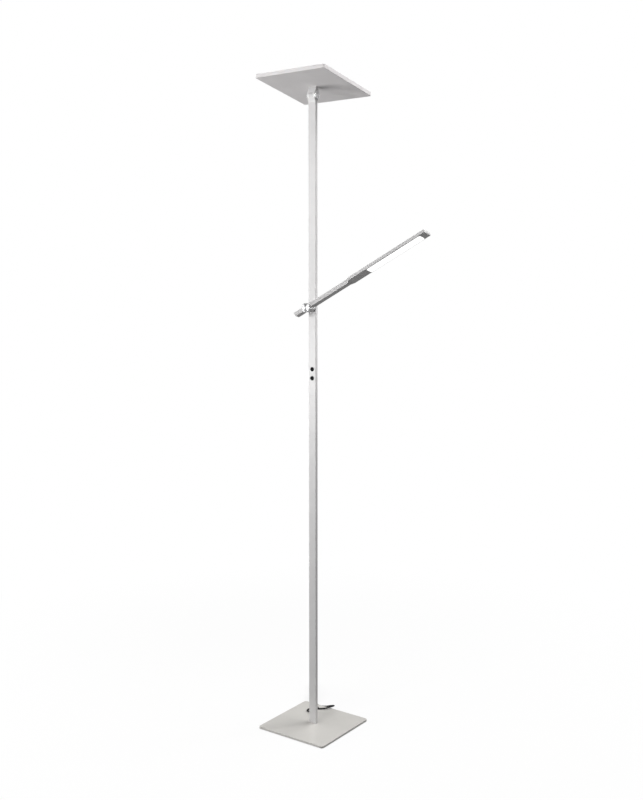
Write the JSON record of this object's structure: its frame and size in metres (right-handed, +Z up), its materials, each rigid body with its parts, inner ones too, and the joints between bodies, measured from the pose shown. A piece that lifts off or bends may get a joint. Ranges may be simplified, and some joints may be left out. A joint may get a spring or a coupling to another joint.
{
  "type": "torchiere floor lamp",
  "caption": "Floor lamp with a flat square uplight that tilts on top of a slim flat pole, a reading light on a friction arm and a square base plate.",
  "frame": {"origin": "on the floor, at the centre of the base pad underside, below the middle of the pole", "axes": "+Z up the pole; X along the wide faces of the pole, towards the side that the reading arm points to; -Y towards the front, where the buttons and the reading light are"},
  "size_m": [0.5608, 0.3582, 1.844],
  "materials": {
    "silver_paint": "satin, fine grained",
    "steel": "zinc plated",
    "dark_steel": "black oxide",
    "bright": "polished",
    "pad": "soft foam pad",
    "black_rubber": "matte",
    "black_cable": "satin jacket",
    "dark_washer": "smooth",
    "black_plastic": "fine grained",
    "grey_plastic": "satin",
    "pale_plastic": "satin",
    "board": "white solder mask",
    "lamp": "clear over phosphor",
    "diffuser": "opal, lit when on",
    "brass": "plain"
  },
  "bodies": {
    "stand": {"base_plate": "silver_paint", "base_pad": "pad", "foot_screws": "steel", "pole_foot": "steel", "pole_lower": "silver_paint", "pole_coupler": "steel", "pole_upper": "silver_paint", "grub_screws": "dark_steel", "switch_board": "board", "tact_switches": "black_plastic", "switch_carrier": "pale_plastic", "supply_cable": "black_cable", "uplight_cable": "black_cable", "reading_feed_cable": "black_cable", "pivot_washer": "dark_washer", "rear_access_plug": "grey_plastic", "hinge_fitting": "silver_paint", "cord_relief": "black_rubber", "cord_run": "black_cable", "cord_hank": "black_cable", "cord_tie": "black_rubber", "plug_body": "black_plastic", "plug_blades": "brass"},
    "pivot": {"pivot_hub": "silver_paint", "pivot_cap": "bright", "pivot_bolt": "steel", "pivot_spring_washer": "steel", "arm_bushes": "pale_plastic"},
    "arm": {"arm_journal": "steel", "arm_tube": "silver_paint", "arm_tail": "silver_paint", "arm_tail_cap": "silver_paint", "arm_set_screws": "dark_steel", "reading_neck": "silver_paint", "reading_shell": "silver_paint", "reading_diffuser": "diffuser", "reading_led_strip": "board", "reading_leds": "lamp", "reading_end_cap": "silver_paint", "reading_arm_cable": "black_cable"},
    "uplight": {"head_bracket": "silver_paint", "hinge_washers": "dark_washer", "hinge_pin": "steel", "hinge_caps": "bright", "head_pan": "silver_paint", "head_frame": "pale_plastic", "head_diffuser": "diffuser", "head_led_strips": "board", "head_leds": "lamp", "head_driver": "pale_plastic", "head_mount_plate": "steel", "head_screws": "steel"},
    "top_button": {"button_top": "black_plastic"},
    "bottom_button": {"button_bottom": "black_plastic"}
  },
  "joints": [
    {"name": "head_tilt", "type": "hinge", "parent": "stand", "child": "uplight", "pos_m": [0, 0, 1.7917], "axis": [1, 0, 0], "range_deg": [-50.2, 69.8]},
    {"name": "reading_arm_lift", "type": "hinge", "parent": "stand", "child": "pivot", "pos_m": [0, -0.023, 1.2145], "axis": [0, -1, 0], "range_deg": [-117.3, 62.6]},
    {"name": "reading_arm_roll", "type": "hinge", "parent": "pivot", "child": "arm", "pos_m": [0, -0.023, 1.2145], "axis": [0.8882, 0, 0.4594], "range_deg": [-71.7, 108.3]},
    {"name": "top_button_press", "type": "slide", "parent": "stand", "child": "top_button", "axis": [0, 1, 0], "range_m": [0, 0.0005], "stiffness_N_per_m": 800},
    {"name": "bottom_button_press", "type": "slide", "parent": "stand", "child": "bottom_button", "axis": [0, 1, 0], "range_m": [0, 0.0005], "stiffness_N_per_m": 800}
  ]
}
